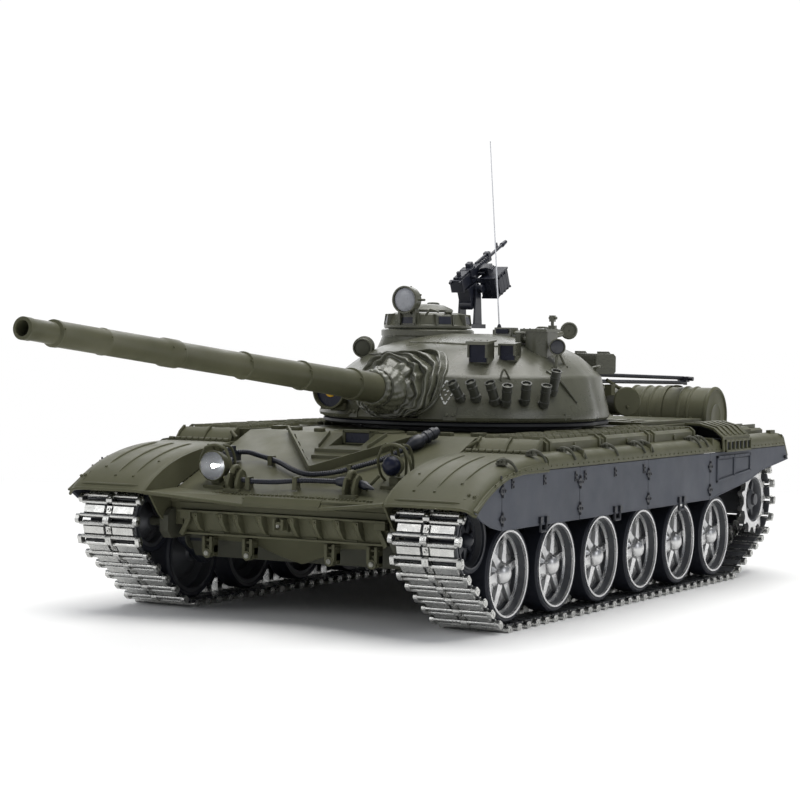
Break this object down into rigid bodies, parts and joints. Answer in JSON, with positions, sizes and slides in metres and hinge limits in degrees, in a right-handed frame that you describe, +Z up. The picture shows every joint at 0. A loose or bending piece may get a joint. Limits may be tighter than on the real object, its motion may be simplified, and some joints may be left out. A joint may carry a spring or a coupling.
{
  "type": "radio-controlled model tank",
  "caption": "Scale model radio-controlled main battle tank with turning turret, elevating gun, sprung road wheels, metal tracks, rubber side skirts and rear fuel drums.",
  "frame": {"origin": "on the ground under the middle of the model's overall box", "axes": "+Z up; the gun points along -Y; +X is the tank's own left side"},
  "size_m": [0.224, 0.6164, 0.247],
  "materials": {
    "hull_olive": "satin olive paint over moulded plastic",
    "turret_olive": "satin olive paint over moulded plastic",
    "gun_olive": "satin olive paint on a turned tube",
    "canvas_boot": "olive weathered canvas",
    "skirt_rubber": "matt blue-black rubber sheet",
    "tyre_rubber": "matt black rubber",
    "wheel_metal": "satin cast metal",
    "track_metal": "bright bare cast metal",
    "black_plastic": "satin black",
    "gun_black": "satin blue-black",
    "hose_black": "ribbed black hose",
    "lamp_glass": "clear lens",
    "lens_dark": "dark coated lens",
    "antenna_wire": "thin bright wire",
    "mark_white": null,
    "battery_wrap": "blue shrink wrap",
    "board_green": "green circuit board"
  },
  "bodies": {
    "hull": {"lower_hull": "hull_olive", "upper_hull": "hull_olive", "engine_deck": "hull_olive", "exhaust_hood": "hull_olive", "glacis_hoses": "hose_black", "drive_gearbox": "black_plastic", "battery_pack": "battery_wrap", "circuit_board": "board_green", "fender_left": "hull_olive", "skirt_left": "skirt_rubber", "fuel_drum_left": "hull_olive", "headlight_left": "lamp_glass", "track_left": "track_metal", "fender_right": "hull_olive", "skirt_right": "skirt_rubber", "fuel_drum_right": "hull_olive", "headlight_right": "lamp_glass", "track_right": "track_metal"},
    "turret": {"turret_ring": "black_plastic", "turret_shell": "turret_olive", "searchlight": "turret_olive", "smoke_launchers": "turret_olive", "stowage_bin": "turret_olive", "snorkel_tube": "turret_olive", "antenna": "antenna_wire"},
    "gun": {"gun_barrel": "gun_olive", "mantlet_cover": "canvas_boot"},
    "cupola": {"cupola": "turret_olive"},
    "commander_hatch": {"commander_hatch": "turret_olive"},
    "gunner_hatch": {"gunner_hatch": "turret_olive"},
    "machine_gun": {"machine_gun": "gun_black"},
    "power_switch": {"power_switch": "black_plastic"},
    "sprocket_left": {"drive_sprocket_left": "wheel_metal"},
    "idler_left": {"idler_wheel_left": "wheel_metal"},
    "arm_left_1": {"swing_arm_left_1": "black_plastic"},
    "wheel_left_1": {"road_wheel_left_1": "wheel_metal"},
    "arm_left_2": {"swing_arm_left_2": "black_plastic"},
    "wheel_left_2": {"road_wheel_left_2": "wheel_metal"},
    "arm_left_3": {"swing_arm_left_3": "black_plastic"},
    "wheel_left_3": {"road_wheel_left_3": "wheel_metal"},
    "arm_left_4": {"swing_arm_left_4": "black_plastic"},
    "wheel_left_4": {"road_wheel_left_4": "wheel_metal"},
    "arm_left_5": {"swing_arm_left_5": "black_plastic"},
    "wheel_left_5": {"road_wheel_left_5": "wheel_metal"},
    "arm_left_6": {"swing_arm_left_6": "black_plastic"},
    "wheel_left_6": {"road_wheel_left_6": "wheel_metal"},
    "sprocket_right": {"drive_sprocket_right": "wheel_metal"},
    "idler_right": {"idler_wheel_right": "wheel_metal"},
    "arm_right_1": {"swing_arm_right_1": "black_plastic"},
    "wheel_right_1": {"road_wheel_right_1": "wheel_metal"},
    "arm_right_2": {"swing_arm_right_2": "black_plastic"},
    "wheel_right_2": {"road_wheel_right_2": "wheel_metal"},
    "arm_right_3": {"swing_arm_right_3": "black_plastic"},
    "wheel_right_3": {"road_wheel_right_3": "wheel_metal"},
    "arm_right_4": {"swing_arm_right_4": "black_plastic"},
    "wheel_right_4": {"road_wheel_right_4": "wheel_metal"},
    "arm_right_5": {"swing_arm_right_5": "black_plastic"},
    "wheel_right_5": {"road_wheel_right_5": "wheel_metal"},
    "arm_right_6": {"swing_arm_right_6": "black_plastic"},
    "wheel_right_6": {"road_wheel_right_6": "wheel_metal"}
  },
  "joints": [
    {"name": "turret_traverse", "type": "hinge", "parent": "hull", "child": "turret", "pos_m": [0, 0.08753, 0.09], "axis": [0, 0, 1], "range_deg": [-150, 150]},
    {"name": "gun_elevation", "type": "hinge", "parent": "turret", "child": "gun", "pos_m": [0, 0.02753, 0.106], "axis": [-1, 0, 0], "range_deg": [-6.5, 8.5]},
    {"name": "cupola_turn", "type": "hinge", "parent": "turret", "child": "cupola", "pos_m": [-0.032, 0.09452, 0.141], "axis": [0, 0, 1], "range_deg": [-30, 180]},
    {"name": "commander_hatch_open", "type": "hinge", "parent": "cupola", "child": "commander_hatch", "pos_m": [-0.032, 0.08052, 0.1504], "axis": [1, 0, 0], "range_deg": [0, 85]},
    {"name": "gunner_hatch_open", "type": "hinge", "parent": "turret", "child": "gunner_hatch", "pos_m": [0.034, 0.08453, 0.1387], "axis": [1, 0, 0], "range_deg": [0, 85]},
    {"name": "machine_gun_elevation", "type": "hinge", "parent": "cupola", "child": "machine_gun", "pos_m": [-0.034, 0.14952, 0.165], "axis": [1, 0, 0], "range_deg": [-20, 40]},
    {"name": "power_switch_slide", "type": "slide", "parent": "hull", "child": "power_switch", "axis": [0, 1, 0], "range_m": [0, 0.005]},
    {"name": "drive_spin_left", "type": "hinge", "parent": "hull", "child": "sprocket_left", "pos_m": [0.087, 0.25903, 0.0435], "axis": [1, 0, 0], "continuous": true},
    {"name": "idler_spin_left", "type": "hinge", "parent": "hull", "child": "idler_left", "pos_m": [0.087, -0.10898, 0.045], "axis": [1, 0, 0], "continuous": true},
    {"name": "arm_swing_left_1", "type": "hinge", "parent": "hull", "child": "arm_left_1", "pos_m": [0.064, -0.08933, 0.0369], "axis": [1, 0, 0], "range_deg": [0, 12], "stiffness_Nm_per_rad": 0.4},
    {"name": "wheel_spin_left_1", "type": "hinge", "parent": "arm_left_1", "child": "wheel_left_1", "pos_m": [0.088, -0.07433, 0.0272], "axis": [1, 0, 0], "continuous": true},
    {"name": "arm_swing_left_2", "type": "hinge", "parent": "hull", "child": "arm_left_2", "pos_m": [0.064, -0.03633, 0.0369], "axis": [1, 0, 0], "range_deg": [0, 12], "stiffness_Nm_per_rad": 0.4},
    {"name": "wheel_spin_left_2", "type": "hinge", "parent": "arm_left_2", "child": "wheel_left_2", "pos_m": [0.088, -0.02133, 0.0272], "axis": [1, 0, 0], "continuous": true},
    {"name": "arm_swing_left_3", "type": "hinge", "parent": "hull", "child": "arm_left_3", "pos_m": [0.064, 0.01667, 0.0369], "axis": [1, 0, 0], "range_deg": [0, 12], "stiffness_Nm_per_rad": 0.4},
    {"name": "wheel_spin_left_3", "type": "hinge", "parent": "arm_left_3", "child": "wheel_left_3", "pos_m": [0.088, 0.03168, 0.0272], "axis": [1, 0, 0], "continuous": true},
    {"name": "arm_swing_left_4", "type": "hinge", "parent": "hull", "child": "arm_left_4", "pos_m": [0.064, 0.06968, 0.0369], "axis": [1, 0, 0], "range_deg": [0, 12], "stiffness_Nm_per_rad": 0.4},
    {"name": "wheel_spin_left_4", "type": "hinge", "parent": "arm_left_4", "child": "wheel_left_4", "pos_m": [0.088, 0.08468, 0.0272], "axis": [1, 0, 0], "continuous": true},
    {"name": "arm_swing_left_5", "type": "hinge", "parent": "hull", "child": "arm_left_5", "pos_m": [0.064, 0.12268, 0.0369], "axis": [1, 0, 0], "range_deg": [0, 12], "stiffness_Nm_per_rad": 0.4},
    {"name": "wheel_spin_left_5", "type": "hinge", "parent": "arm_left_5", "child": "wheel_left_5", "pos_m": [0.088, 0.13767, 0.0272], "axis": [1, 0, 0], "continuous": true},
    {"name": "arm_swing_left_6", "type": "hinge", "parent": "hull", "child": "arm_left_6", "pos_m": [0.064, 0.17567, 0.0369], "axis": [1, 0, 0], "range_deg": [0, 12], "stiffness_Nm_per_rad": 0.4},
    {"name": "wheel_spin_left_6", "type": "hinge", "parent": "arm_left_6", "child": "wheel_left_6", "pos_m": [0.088, 0.19068, 0.0272], "axis": [1, 0, 0], "continuous": true},
    {"name": "drive_spin_right", "type": "hinge", "parent": "hull", "child": "sprocket_right", "pos_m": [-0.087, 0.25903, 0.0435], "axis": [1, 0, 0], "continuous": true},
    {"name": "idler_spin_right", "type": "hinge", "parent": "hull", "child": "idler_right", "pos_m": [-0.087, -0.10898, 0.045], "axis": [1, 0, 0], "continuous": true},
    {"name": "arm_swing_right_1", "type": "hinge", "parent": "hull", "child": "arm_right_1", "pos_m": [-0.064, -0.08933, 0.0369], "axis": [1, 0, 0], "range_deg": [0, 12], "stiffness_Nm_per_rad": 0.4},
    {"name": "wheel_spin_right_1", "type": "hinge", "parent": "arm_right_1", "child": "wheel_right_1", "pos_m": [-0.088, -0.07433, 0.0272], "axis": [1, 0, 0], "continuous": true},
    {"name": "arm_swing_right_2", "type": "hinge", "parent": "hull", "child": "arm_right_2", "pos_m": [-0.064, -0.03633, 0.0369], "axis": [1, 0, 0], "range_deg": [0, 12], "stiffness_Nm_per_rad": 0.4},
    {"name": "wheel_spin_right_2", "type": "hinge", "parent": "arm_right_2", "child": "wheel_right_2", "pos_m": [-0.088, -0.02133, 0.0272], "axis": [1, 0, 0], "continuous": true},
    {"name": "arm_swing_right_3", "type": "hinge", "parent": "hull", "child": "arm_right_3", "pos_m": [-0.064, 0.01667, 0.0369], "axis": [1, 0, 0], "range_deg": [0, 12], "stiffness_Nm_per_rad": 0.4},
    {"name": "wheel_spin_right_3", "type": "hinge", "parent": "arm_right_3", "child": "wheel_right_3", "pos_m": [-0.088, 0.03168, 0.0272], "axis": [1, 0, 0], "continuous": true},
    {"name": "arm_swing_right_4", "type": "hinge", "parent": "hull", "child": "arm_right_4", "pos_m": [-0.064, 0.06968, 0.0369], "axis": [1, 0, 0], "range_deg": [0, 12], "stiffness_Nm_per_rad": 0.4},
    {"name": "wheel_spin_right_4", "type": "hinge", "parent": "arm_right_4", "child": "wheel_right_4", "pos_m": [-0.088, 0.08468, 0.0272], "axis": [1, 0, 0], "continuous": true},
    {"name": "arm_swing_right_5", "type": "hinge", "parent": "hull", "child": "arm_right_5", "pos_m": [-0.064, 0.12268, 0.0369], "axis": [1, 0, 0], "range_deg": [0, 12], "stiffness_Nm_per_rad": 0.4},
    {"name": "wheel_spin_right_5", "type": "hinge", "parent": "arm_right_5", "child": "wheel_right_5", "pos_m": [-0.088, 0.13767, 0.0272], "axis": [1, 0, 0], "continuous": true},
    {"name": "arm_swing_right_6", "type": "hinge", "parent": "hull", "child": "arm_right_6", "pos_m": [-0.064, 0.17567, 0.0369], "axis": [1, 0, 0], "range_deg": [0, 12], "stiffness_Nm_per_rad": 0.4},
    {"name": "wheel_spin_right_6", "type": "hinge", "parent": "arm_right_6", "child": "wheel_right_6", "pos_m": [-0.088, 0.19068, 0.0272], "axis": [1, 0, 0], "continuous": true}
  ],
  "couplings": [
    {"joint": "idler_spin_left", "follows": "drive_spin_left", "ratio": 1.2111},
    {"joint": "wheel_spin_left_1", "follows": "drive_spin_left", "ratio": 0.9125},
    {"joint": "wheel_spin_left_2", "follows": "drive_spin_left", "ratio": 0.9125},
    {"joint": "wheel_spin_left_3", "follows": "drive_spin_left", "ratio": 0.9125},
    {"joint": "wheel_spin_left_4", "follows": "drive_spin_left", "ratio": 0.9125},
    {"joint": "wheel_spin_left_5", "follows": "drive_spin_left", "ratio": 0.9125},
    {"joint": "wheel_spin_left_6", "follows": "drive_spin_left", "ratio": 0.9125},
    {"joint": "idler_spin_right", "follows": "drive_spin_right", "ratio": 1.2111},
    {"joint": "wheel_spin_right_1", "follows": "drive_spin_right", "ratio": 0.9125},
    {"joint": "wheel_spin_right_2", "follows": "drive_spin_right", "ratio": 0.9125},
    {"joint": "wheel_spin_right_3", "follows": "drive_spin_right", "ratio": 0.9125},
    {"joint": "wheel_spin_right_4", "follows": "drive_spin_right", "ratio": 0.9125},
    {"joint": "wheel_spin_right_5", "follows": "drive_spin_right", "ratio": 0.9125},
    {"joint": "wheel_spin_right_6", "follows": "drive_spin_right", "ratio": 0.9125}
  ]
}
